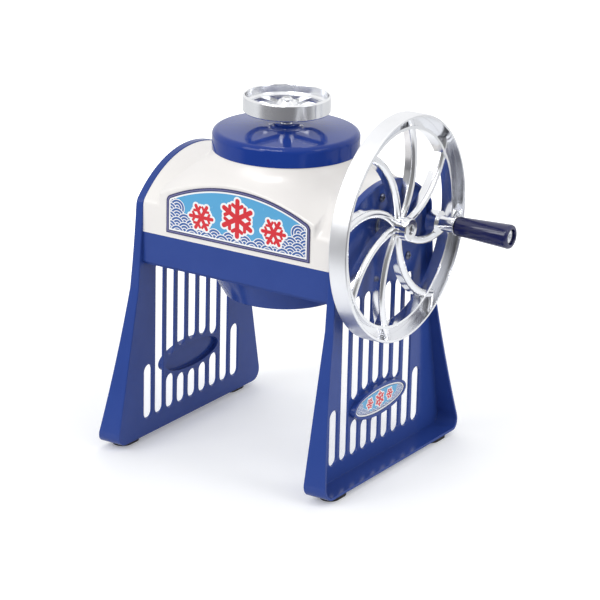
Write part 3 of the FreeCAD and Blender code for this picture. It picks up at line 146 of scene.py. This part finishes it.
def noise(tree, spot, scale, detail, roughness=0.5):
    """Noise from 0 to 1 at a place in millimetres; scale counts features per millimetre."""
    node = tree.nodes.new("ShaderNodeTexNoise")
    node.inputs["Scale"].default_value = scale
    node.inputs["Detail"].default_value = detail
    node.inputs["Roughness"].default_value = roughness
    tree.links.new(spot, node.inputs["Vector"])
    return Num(tree, node.outputs["Fac"])


# ---------------------------------------------------------------- materials
BEVEL_SAMPLES = 6
MOTTLE_CONTRAST = 1.6


class Finish:
    """A Principled material whose edges are eased and whose relief comes from nodes."""

    def __init__(self, name, edge):
        """edge is the radius of the eased edges in millimetres, 0 for none."""
        self.material = bpy.data.materials.new(name)
        self.material.use_nodes = True
        self.tree = self.material.node_tree
        self.shader = self.tree.nodes["Principled BSDF"]
        self.x, self.y, self.z = place(self.tree)
        self.spot = vector(self.tree, self.x, self.y, self.z)
        self.normal = None
        if edge:
            bevel = self.tree.nodes.new("ShaderNodeBevel")
            bevel.samples = BEVEL_SAMPLES
            bevel.inputs["Radius"].default_value = edge * MM
            self.normal = bevel.outputs[0]
            self.tree.links.new(self.normal, self.shader.inputs["Normal"])

    def set(self, **values):
        """Give the shader's sockets numbers, colours or outputs; _ stands for a space in their names."""
        for name, value in values.items():
            plug(self.tree, self.shader.inputs[name.replace("_", " ")], value)

    def noise(self, scale, detail):
        return noise(self.tree, self.spot, scale, detail)

    def relief(self, height, depth):
        """Bump from a height of 0 to 1, its depth in millimetres."""
        bump = self.tree.nodes.new("ShaderNodeBump")
        bump.inputs["Strength"].default_value = 1.0
        bump.inputs["Distance"].default_value = depth * MM
        plug(self.tree, bump.inputs["Height"], height)
        if self.normal:
            self.tree.links.new(self.normal, bump.inputs["Normal"])
        self.normal = bump.outputs[0]
        self.tree.links.new(self.normal, self.shader.inputs["Normal"])

    def mottled(self, dark, light, scale):
        """Two close colours blended by broad noise."""
        share = (self.noise(scale, detail=4.0) - 0.5) * MOTTLE_CONTRAST + 0.5
        return mix_colour(self.tree, share.between(0.0, 1.0), dark, light)


BLUE = rgb(48, 73, 146)
BLUE_DEEP = rgb(43, 68, 140)
LID_BLUE = rgb(26, 58, 142)
LID_BLUE_DEEP = rgb(22, 53, 135)
GRIP_BLUE = rgb(28, 32, 84)
GRIP_BLUE_DEEP = rgb(24, 28, 78)
WHITE = rgb(240, 237, 234)
WHITE_DEEP = rgb(236, 233, 230)
CHROME = rgb(244, 245, 248)
SCREW_GREY = rgb(120, 124, 142)
STEEL = rgb(196, 198, 203)
NYLON = rgb(232, 230, 220)
DRUM_GREY = rgb(214, 222, 230)
RUBBER = rgb(30, 30, 32)
PRINT_WHITE = rgb(244, 245, 246)
PRINT_SKY = rgb(84, 166, 214)
PRINT_WAVE = rgb(56, 96, 164)
PRINT_NAVY = rgb(46, 46, 98)
# colour of a painted highlight: a pale line along the label's navy border
PAINTED_HIGHLIGHT = rgb(112, 112, 158)
PRINT_RED = rgb(214, 32, 46)


def darker(colour, share):
    """The colour with each channel times share."""
    return tuple(c * share for c in colour[:3]) + (1.0,)


def blue_plastic(name, dark, light, rough, mirror):
    """High-gloss moulded ABS with a faint orange-peel skin; mirror is the strength of its gloss."""
    finish = Finish(name, edge=0.7)
    finish.set(Base_Color=finish.mottled(dark, light, scale=0.03))
    finish.set(Roughness=finish.noise(scale=0.12, detail=4.0) * 0.06 + rough)
    finish.set(Specular_IOR_Level=mirror, Coat_Weight=mirror * 0.3, Coat_Roughness=0.04)
    finish.relief(finish.noise(scale=0.2, detail=2.0), depth=0.01)
    return finish.material


def white_plastic():
    """Moulded white shell with a soft gloss; eased edges would speckle it, so it has none."""
    finish = Finish("white_shell", edge=0.0)
    finish.set(Base_Color=finish.mottled(WHITE_DEEP, WHITE, scale=0.02))
    finish.set(Roughness=finish.noise(scale=0.1, detail=2.0) * 0.08 + 0.26)
    finish.set(Coat_Weight=0.12, Coat_Roughness=0.12)
    finish.relief(finish.noise(scale=0.05, detail=1.0), depth=0.02)
    return finish.material


def bright_metal(name, tone, rough, waviness, edge, satin=None):
    """Plated casting with clear, slightly wavy reflections.

    satin is the height of an axis along X and the radius from which the surface is satin.
    """
    finish = Finish(name, edge=edge)
    finish.set(Metallic=1.0, Base_Color=finish.mottled(darker(tone, 0.94), tone, scale=0.05))
    gloss = finish.noise(scale=0.05, detail=2.0) * 0.06 + rough
    if satin:
        axis_z, satin_r = satin
        on_band = soft_step(length(finish.y, finish.z - axis_z), satin_r, 0.4)
        gloss = gloss + on_band * 0.24
    finish.set(Roughness=gloss)
    finish.relief(finish.noise(scale=0.03, detail=1.0), depth=waviness)
    return finish.material


def turned_metal(name, axis_x, tone):
    """Metal turned on a lathe about a vertical axis: fine rings and a streaked gloss."""
    finish = Finish(name, edge=0.6)
    tree = finish.tree
    tangent = tree.nodes.new("ShaderNodeTangent")
    tangent.direction_type = "RADIAL"
    tangent.axis = "Z"
    finish.set(Metallic=1.0, Anisotropic=0.7, Anisotropic_Rotation=0.25, Tangent=tangent.outputs[0])
    rings_per_mm = 3.0
    out = length(finish.x - axis_x, finish.y)
    lines = noise(tree, vector(tree, out * rings_per_mm, finish.z * rings_per_mm, 0.0), 1.0, 3.0, 0.6)
    finish.set(Base_Color=finish.mottled(darker(tone, 0.9), tone, scale=0.05))
    finish.set(Roughness=lines * 0.12 + 0.14)
    finish.relief(lines, depth=0.004)
    return finish.material


def plain_plastic(name, colour, rough, grain=0.6):
    """Matt plastic or rubber; grain counts its bumps per millimetre."""
    finish = Finish(name, edge=0.4)
    finish.set(Base_Color=finish.mottled(darker(colour, 0.9), colour, scale=0.06))
    finish.set(Roughness=finish.noise(scale=0.3, detail=4.0) * 0.15 + rough)
    finish.relief(finish.noise(scale=grain, detail=3.0), depth=0.03)
    return finish.material


def satin_steel(name, tone, rough):
    """Rolled or ground steel with lines along X."""
    finish = Finish(name, edge=0.4)
    tree = finish.tree
    lines_per_mm, along_x = 2.5, 0.05
    spot = vector(tree, finish.x * along_x, finish.y * lines_per_mm, finish.z * lines_per_mm)
    lines = noise(tree, spot, 1.0, 4.0, 0.6)
    finish.set(Metallic=1.0, Base_Color=mix_colour(tree, lines, darker(tone, 0.85), tone))
    finish.set(Roughness=lines * 0.2 + rough)
    finish.relief(lines, depth=0.01)
    return finish.material


# ---------------------------------------------------------------- printed sheets
def scallops(finish, ground, u, v, base, radius, rows, limit):
    """Traditional overlapping wave scales below a limit, each row in front of the one above it."""
    tree = finish.tree
    lines_per_scale, line_start = 3.0, 0.70
    colour = ground
    for row in reversed(range(rows)):
        shift = (row % 2) * radius
        middle_v = base + row * radius * 0.5
        middle_u = ((u - shift) / (2 * radius) + 0.5).floor() * (2 * radius) + shift
        reach = length(u - middle_u, v - middle_v)
        shown = (limit(middle_u) - middle_v).over(0.0)
        scale = soft_step(-reach, -radius, 0.1) * shown
        line = soft_step((reach / radius * lines_per_scale).repeat(1.0), line_start, 0.04)
        colour = mix_colour(tree, scale, colour, mix_colour(tree, line, PRINT_WAVE, PRINT_WHITE))
    return colour


def bank(start, run, height, foot):
    """Limit of the wave scales along a sheet: level in the middle, rising towards both ends."""
    def limit(at):
        rise = ((abs(at) - start) / run).between(0.0, 1.0)
        return rise * rise * height + foot
    return limit


def crystal(finish, ground, u, v, middle_u, middle_v, size, tilt, outline):
    """Six-armed snow crystal in red with a white outline; size is the length of an arm."""
    tree = finish.tree
    arm_l, arm_r = 0.84 * size, 0.12 * size
    twig_from, twig_l, twig_r = 0.48 * size, 0.30 * size, 0.09 * size
    twig_u, twig_v = 0.5, 0.866
    softness = 0.12
    du, dv = u - middle_u, v - middle_v
    sixth = math.pi / 3
    angle = dv.direction(du) + (tilt + sixth / 2)
    fold = abs(angle.repeat(sixth) - sixth / 2)
    reach = length(du, dv)
    along = reach * fold.cosine()
    across = reach * fold.sine()
    arm = length(along - along.between(0.0, arm_l), across) - arm_r
    step = ((along - twig_from) * twig_u + across * twig_v).between(0.0, twig_l)
    twig = length(along - step * twig_u - twig_from, across - step * twig_v) - twig_r
    edge = arm.least(twig)
    colour = mix_colour(tree, soft_step(-edge, -outline, softness), ground, PRINT_WHITE)
    return mix_colour(tree, soft_step(-edge, 0.0, softness), colour, PRINT_RED)


def printed(name):
    """Start of a printed sheet's finish: a clear film over the print."""
    finish = Finish(name, edge=0.0)
    finish.set(Roughness=finish.noise(scale=0.2, detail=3.0) * 0.08 + 0.22, Coat_Weight=0.3)
    return finish


LABEL_LOW, LABEL_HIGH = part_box("front_label")
LABEL_MIDDLE_X = (LABEL_LOW.x + LABEL_HIGH.x) / 2 / MM
LABEL_HALF_W = (LABEL_HIGH.x - LABEL_LOW.x) / 2 / MM
LABEL_BASE_Z = LABEL_LOW.z / MM
LABEL_RISE = 20.7            # how far the arched top rises over its ends
LABEL_CORNER_R = 7.5
LABEL_ARC_R = (LABEL_HALF_W ** 2 + LABEL_RISE ** 2) / (2 * LABEL_RISE)
LABEL_ARC_Z = LABEL_HIGH.z / MM - LABEL_ARC_R
LABEL_NAVY_W = 3.3           # navy border, from the edge
LABEL_WHITE_W = 4.9          # white border, from the edge
LABEL_HIGHLIGHT_FROM = 1.2        # painted highlight: a pale line along the navy border
LABEL_HIGHLIGHT_TO = 2.2
PRINT_RAMP = 0.15            # softness of the borders' edges
HIGHLIGHT_RAMP = 0.3
LABEL_SCALE_R = 9.0
LABEL_SCALE_ROWS = 8
LABEL_OUTLINE = 2.0          # white outline of a crystal
LABEL_CRYSTALS = (           # place along the label, height over its base, size, tilt
    (-43.0, 23.0, 15.5, 0.0),
    (0.0, 29.5, 21.5, math.pi / 6),
    (43.0, 23.0, 15.5, 0.0),
)


def label_print():
    """Front label: navy line with a painted highlight along it, white border, sky, wave scales rising to
    both ends, crystals.
    """
    finish = printed("label_print")
    tree = finish.tree
    u = finish.x - LABEL_MIDDLE_X
    v = finish.z
    sides = -(abs(u) - LABEL_HALF_W)
    arch = -(length(u, v - LABEL_ARC_Z) - LABEL_ARC_R)
    corner_u = LABEL_HALF_W - LABEL_CORNER_R
    corner_v = LABEL_ARC_Z + math.sqrt((LABEL_ARC_R - LABEL_CORNER_R) ** 2 - corner_u ** 2)
    slant = (corner_v - LABEL_ARC_Z) / corner_u
    beside = (v - LABEL_ARC_Z).over(0.0) * (abs(u) * slant).over(v - LABEL_ARC_Z)
    in_corner = beside * v.over(corner_v)
    far_inside = 100.0
    rounded = -(length(abs(u) - corner_u, v - corner_v) - LABEL_CORNER_R) + (-in_corner + 1.0) * far_inside
    inside = sides.least(v - LABEL_BASE_Z).least(arch).least(rounded)

    waves = bank(start=26.0, run=46.0, height=27.0, foot=LABEL_BASE_Z + 6.0)
    colour = scallops(finish, PRINT_SKY, u, v, LABEL_BASE_Z + 1.0, LABEL_SCALE_R, LABEL_SCALE_ROWS, waves)
    for middle_u, rise, size, tilt in LABEL_CRYSTALS:
        colour = crystal(finish, colour, u, v, middle_u, LABEL_BASE_Z + rise, size, tilt, LABEL_OUTLINE)
    colour = mix_colour(tree, soft_step(inside, LABEL_WHITE_W, PRINT_RAMP), PRINT_WHITE, colour)
    colour = mix_colour(tree, soft_step(inside, LABEL_NAVY_W, PRINT_RAMP), PRINT_NAVY, colour)
    # painted highlight: a pale line in the navy border that stands for its gloss
    rim = soft_step(inside, LABEL_HIGHLIGHT_FROM, HIGHLIGHT_RAMP) * soft_step(-inside, -LABEL_HIGHLIGHT_TO, HIGHLIGHT_RAMP)
    finish.set(Base_Color=mix_colour(tree, rim, colour, PAINTED_HIGHLIGHT))
    return finish.material


BADGE_LOW, BADGE_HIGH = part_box("right_badge")
BADGE_Z = (BADGE_LOW.z + BADGE_HIGH.z) / 2 / MM
BADGE_HALF_L = (BADGE_HIGH.y - BADGE_LOW.y) / 2 / MM
BADGE_HALF_H = (BADGE_HIGH.z - BADGE_LOW.z) / 2 / MM
BADGE_WHITE_W = 1.8          # white border, from the edge
BADGE_LINE_W = 2.5           # navy line inside it, from the edge
BADGE_RAMP = 0.01            # share of the oval over which a border's edge is soft
BADGE_SCALE_R = 4.0
BADGE_SCALE_ROWS = 10
BADGE_OUTLINE = 1.1
BADGE_CRYSTAL_RISE = 0.8
BADGE_CRYSTALS = ((-19.0, 6.6, 0.0), (0.0, 9.0, math.pi / 6), (19.0, 6.6, 0.0))   # place, size, tilt


def badge_print():
    """Oval sticker: white border, sky, small wave scales and three crystals."""
    finish = printed("badge_print")
    tree = finish.tree
    u = finish.y
    v = finish.z - BADGE_Z

    def oval(inset):
        return length(u / (BADGE_HALF_L - inset), v / (BADGE_HALF_H - inset))

    waves = bank(start=16.0, run=22.0, height=16.0, foot=-9.5)
    colour = scallops(finish, PRINT_SKY, u, v, -BADGE_HALF_H, BADGE_SCALE_R, BADGE_SCALE_ROWS, waves)
    for middle_u, size, tilt in BADGE_CRYSTALS:
        colour = crystal(finish, colour, u, v, middle_u, BADGE_CRYSTAL_RISE, size, tilt, BADGE_OUTLINE)
    colour = mix_colour(tree, soft_step(oval(BADGE_LINE_W), 1.0, BADGE_RAMP), colour, PRINT_NAVY)
    colour = mix_colour(tree, soft_step(oval(BADGE_WHITE_W), 1.0, BADGE_RAMP), colour, PRINT_WHITE)
    finish.set(Base_Color=colour)
    return finish.material


# ---------------------------------------------------------------- dressing the CAD nodes
RIM_LOW, RIM_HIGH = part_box("crank_wheel_rim")
AXLE_Z = (RIM_LOW.z + RIM_HIGH.z) / 2 / MM
RIM_R = (RIM_HIGH.y - RIM_LOW.y) / 2 / MM
RIM_BAND_T = 1.5             # depth of the rim's outer face that is satin
HAND_LOW, HAND_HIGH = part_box("hand_wheel")
SPINDLE_X = (HAND_LOW.x + HAND_HIGH.x) / 2 / MM

blue = blue_plastic("blue_shell", BLUE_DEEP, BLUE, rough=0.14, mirror=0.18)
lid_blue = blue_plastic("lid_gloss", LID_BLUE_DEEP, LID_BLUE, rough=0.04, mirror=0.22)
grip_blue = blue_plastic("grip_blue", GRIP_BLUE_DEEP, GRIP_BLUE, rough=0.1, mirror=0.6)
white = white_plastic()
chrome = bright_metal("chrome_casting", CHROME, rough=0.11, waviness=0.1, edge=0.6,
                      satin=(AXLE_Z, RIM_R - RIM_BAND_T))
dim_screw = bright_metal("frame_screw", SCREW_GREY, rough=0.3, waviness=0.01, edge=0.2)
fastener = bright_metal("bright_fastener", CHROME, rough=0.14, waviness=0.01, edge=0.2)
steel = satin_steel("satin_steel", STEEL, rough=0.2)
turned = turned_metal("turned_ring", SPINDLE_X, CHROME)
nylon = plain_plastic("natural_nylon", NYLON, rough=0.45)
drum_plastic = plain_plastic("pale_drum", DRUM_GREY, rough=0.38)
rubber = plain_plastic("black_rubber", RUBBER, rough=0.7, grain=1.2)
label = label_print()
badge = badge_print()

DRESS = {
    blue: ("right_side_frame", "left_side_frame", "base_tray", "funnel"),
    lid_blue: ("lid", "spindle_nut"),
    grip_blue: ("handle_grip",),
    white: ("upper_casing",),
    chrome: ("crank_wheel_rim", "crank_wheel_spider", "handle_washer", "axle_washer"),
    dim_screw: ("frame_screws",),
    fastener: ("wheel_screw", "handle_bolt", "hand_wheel_screw", "presser_screw",
               "table_screws", "funnel_screws", "blade_screws", "bracket_screws",
               "ring_gear_screws", "nut_screws", "axle_circlip", "pinion_pin"),
    steel: ("blade_table", "shaving_blade", "axle_bracket", "drive_axle", "feed_spindle",
            "presser_plate", "inner_bush", "outer_bush"),
    turned: ("hand_wheel",),
    nylon: ("drum_seat_ring", "ring_gear", "bevel_pinion", "thrust_washer"),
    drum_plastic: ("ice_drum",),
    rubber: ("rubber_feet",),
    label: ("front_label",),
    badge: ("right_badge", "left_badge"),
}
for material, names in DRESS.items():
    for name in names:
        for slot in NODES[name].material_slots:
            slot.material = material


# ---------------------------------------------------------------- studio
CAMERA_AZIMUTH = 32.43       # degrees, 0 the front and 90 the crank side
CAMERA_ELEVATION = 18.76
CAMERA_ROLL = 1.33
CAMERA_DISTANCE = 3.0137     # metres from the target
CAMERA_TARGET = (0.0045, -0.0372, 0.1721)
CAMERA_LENS = 180.44

LAMP_TARGET = (0, 0, 0.2)
LAMPS = (   # name, azimuth and elevation, distance, width and height in metres, watts
    ("key", -22.0, 32.0, 2.2, 1.3, 1.0, 15.5),
    ("glint", 2.0, 54.0, 2.0, 1.0, 0.3, 16.0),
    ("fill", 95.0, 34.0, 2.4, 1.0, 1.2, 11.0),
    ("top", 20.0, 84.0, 2.0, 1.4, 1.4, 1.0),
    ("bounce", 215.0, 30.0, 2.4, 1.2, 1.0, 8.0),
)
GLOSS_ONLY = "glint"         # a highlight on edges that adds no light
PLAIN_ONLY = "bounce"        # light that gloss doesn't show

WORLD_LIGHT = 0.76           # even light on plain surfaces
ROOM_DARKNESS = 0.75         # what gloss loses towards the room behind the camera
ROOM_FROM = 0.30             # where the room begins, as a part of a direction of length 1
ROOM_RAMP = 0.5
ROOM_TOP = 0.6               # and how high it reaches
ROOM_TOP_RAMP = 0.4

FLOOR_HALF = 6.0
FLOOR_DROP = 0.0002          # metres under the feet
FLOOR_EYE_FROM = 420.0       # millimetres from the axis towards the camera, and the ramp there
FLOOR_EYE_RAMP = 240.0
FLOOR_FAR_R = 650.0
FLOOR_FAR_RAMP = 500.0
FLOOR_PALE = (0.86, 0.87, 0.88, 1.0)
FLOOR_FAR = (0.6, 0.61, 0.62, 1.0)
FLOOR_EYE = (0.16, 0.16, 0.17, 1.0)
GLOW_EYE = 0.22              # what the floor adds to its shade for the eye, and the gain far away
GLOW_EYE_GAIN = 0.75
GLOW_GLOSS = 0.16            # and for gloss, less on the camera's side
GLOW_GLOSS_LOSS = 0.14
GLOW_PLAIN = 0.5             # and for plain surfaces, where its darkness would dim them


def outward(azimuth, elevation):
    """Direction from the object, both angles in degrees."""
    a, e = math.radians(azimuth), math.radians(elevation)
    return Vector((math.sin(a) * math.cos(e), -math.cos(a) * math.cos(e), math.sin(e)))


def softbox(name, azimuth, elevation, distance, width, height, watts):
    """Area lamp that faces the object."""
    data = bpy.data.lights.new(name, "AREA")
    data.shape = "RECTANGLE"
    data.size, data.size_y = width, height
    data.energy = watts
    lamp = bpy.data.objects.new(name, data)
    bpy.context.scene.collection.objects.link(lamp)
    away = outward(azimuth, elevation) * distance
    lamp.location = Vector(LAMP_TARGET) + away
    lamp.rotation_mode = "QUATERNION"
    lamp.rotation_quaternion = away.to_track_quat("Z", "Y")
    lamp.visible_diffuse = name != GLOSS_ONLY
    lamp.visible_glossy = name != PLAIN_ONLY


def towards_camera(x, y):
    """How far a place lies from the axis on the camera's side."""
    a = math.radians(CAMERA_AZIMUTH)
    return x * math.sin(a) + y * -math.cos(a)


def ray_kinds(tree):
    """1 for a ray seen by eye, also through glass, and 1 for one in gloss."""
    path = tree.nodes.new("ShaderNodeLightPath")
    eye = Num(tree, path.outputs["Is Camera Ray"]).most(Num(tree, path.outputs["Is Transmission Ray"]))
    return eye, Num(tree, path.outputs["Is Glossy Ray"])


def studio_world():
    """White to the eye and in gloss behind the object, with a grey room behind the camera."""
    world = bpy.data.worlds.new("studio")
    bpy.context.scene.world = world
    world.use_nodes = True
    tree = world.node_tree
    ground = tree.nodes["Background"]
    ground.inputs["Color"].default_value = (1.0, 1.0, 1.0, 1.0)
    source = tree.nodes.new("ShaderNodeTexCoord")
    split = tree.nodes.new("ShaderNodeSeparateXYZ")
    tree.links.new(source.outputs["Generated"], split.inputs[0])
    x, y, z = [Num(tree, out) for out in split.outputs]
    beside = soft_step(towards_camera(x, y), ROOM_FROM, ROOM_RAMP)
    room = beside * soft_step(-z, -ROOM_TOP, ROOM_TOP_RAMP)
    mirror = -(room * ROOM_DARKNESS) + 1.0
    eye, gloss = ray_kinds(tree)
    plain = -(gloss.most(eye)) + 1.0
    plug(tree, ground.inputs["Strength"], eye + gloss * mirror + plain * WORLD_LIGHT)


def studio_floor():
    """Pale floor that keeps the shadow: white to the eye away from the object, darker in gloss."""
    data = bpy.data.meshes.new("floor")
    corners = [(-FLOOR_HALF, -FLOOR_HALF, 0), (FLOOR_HALF, -FLOOR_HALF, 0),
               (FLOOR_HALF, FLOOR_HALF, 0), (-FLOOR_HALF, FLOOR_HALF, 0)]
    data.from_pydata(corners, [], [(0, 1, 2, 3)])
    floor = bpy.data.objects.new("floor", data)
    bpy.context.scene.collection.objects.link(floor)
    floor.location.z = -FLOOR_DROP
    material = bpy.data.materials.new("pale_floor")
    material.use_nodes = True
    tree = material.node_tree
    shader = tree.nodes["Principled BSDF"]
    x, y, _ = place(tree)
    near_eye = soft_step(towards_camera(x, y), FLOOR_EYE_FROM, FLOOR_EYE_RAMP)
    far = soft_step(length(x, y), FLOOR_FAR_R, FLOOR_FAR_RAMP).most(near_eye)
    away = mix_colour(tree, near_eye, FLOOR_FAR, FLOOR_EYE)
    plug(tree, shader.inputs["Base Color"], mix_colour(tree, far, FLOOR_PALE, away))
    shader.inputs["Roughness"].default_value = 0.6
    shader.inputs["Specular IOR Level"].default_value = 0.1
    shader.inputs["Emission Color"].default_value = (1.0, 1.0, 1.0, 1.0)
    eye, gloss = ray_kinds(tree)
    plain = -(eye.most(gloss)) + 1.0
    to_eye = eye * (far * GLOW_EYE_GAIN + GLOW_EYE)
    to_gloss = gloss * (near_eye * -GLOW_GLOSS_LOSS + GLOW_GLOSS)
    to_plain = plain * (near_eye * GLOW_PLAIN)
    plug(tree, shader.inputs["Emission Strength"], to_eye + to_gloss + to_plain)
    data.materials.append(material)


def photo_camera():
    """Long lens at the height and side that show label, crank wheel and funnel together."""
    data = bpy.data.cameras.new("camera")
    data.sensor_width = 36.0
    data.lens = CAMERA_LENS
    data.clip_start, data.clip_end = 0.05, 50.0
    camera = bpy.data.objects.new("camera", data)
    bpy.context.scene.collection.objects.link(camera)
    back = outward(CAMERA_AZIMUTH, CAMERA_ELEVATION)
    right = (-back).cross(Vector((0, 0, 1))).normalized()
    up = right.cross(-back)
    roll = math.radians(CAMERA_ROLL)
    side = right * math.cos(roll) + up * math.sin(roll)
    top = up * math.cos(roll) - right * math.sin(roll)
    turn = Matrix((side, top, back)).transposed()
    place_at = Vector(CAMERA_TARGET) + back * CAMERA_DISTANCE
    camera.matrix_world = Matrix.Translation(place_at) @ turn.to_4x4()
    bpy.context.scene.camera = camera


for lamp_values in LAMPS:
    softbox(*lamp_values)
studio_world()
studio_floor()
photo_camera()
bpy.context.scene.view_settings.view_transform = "Standard"
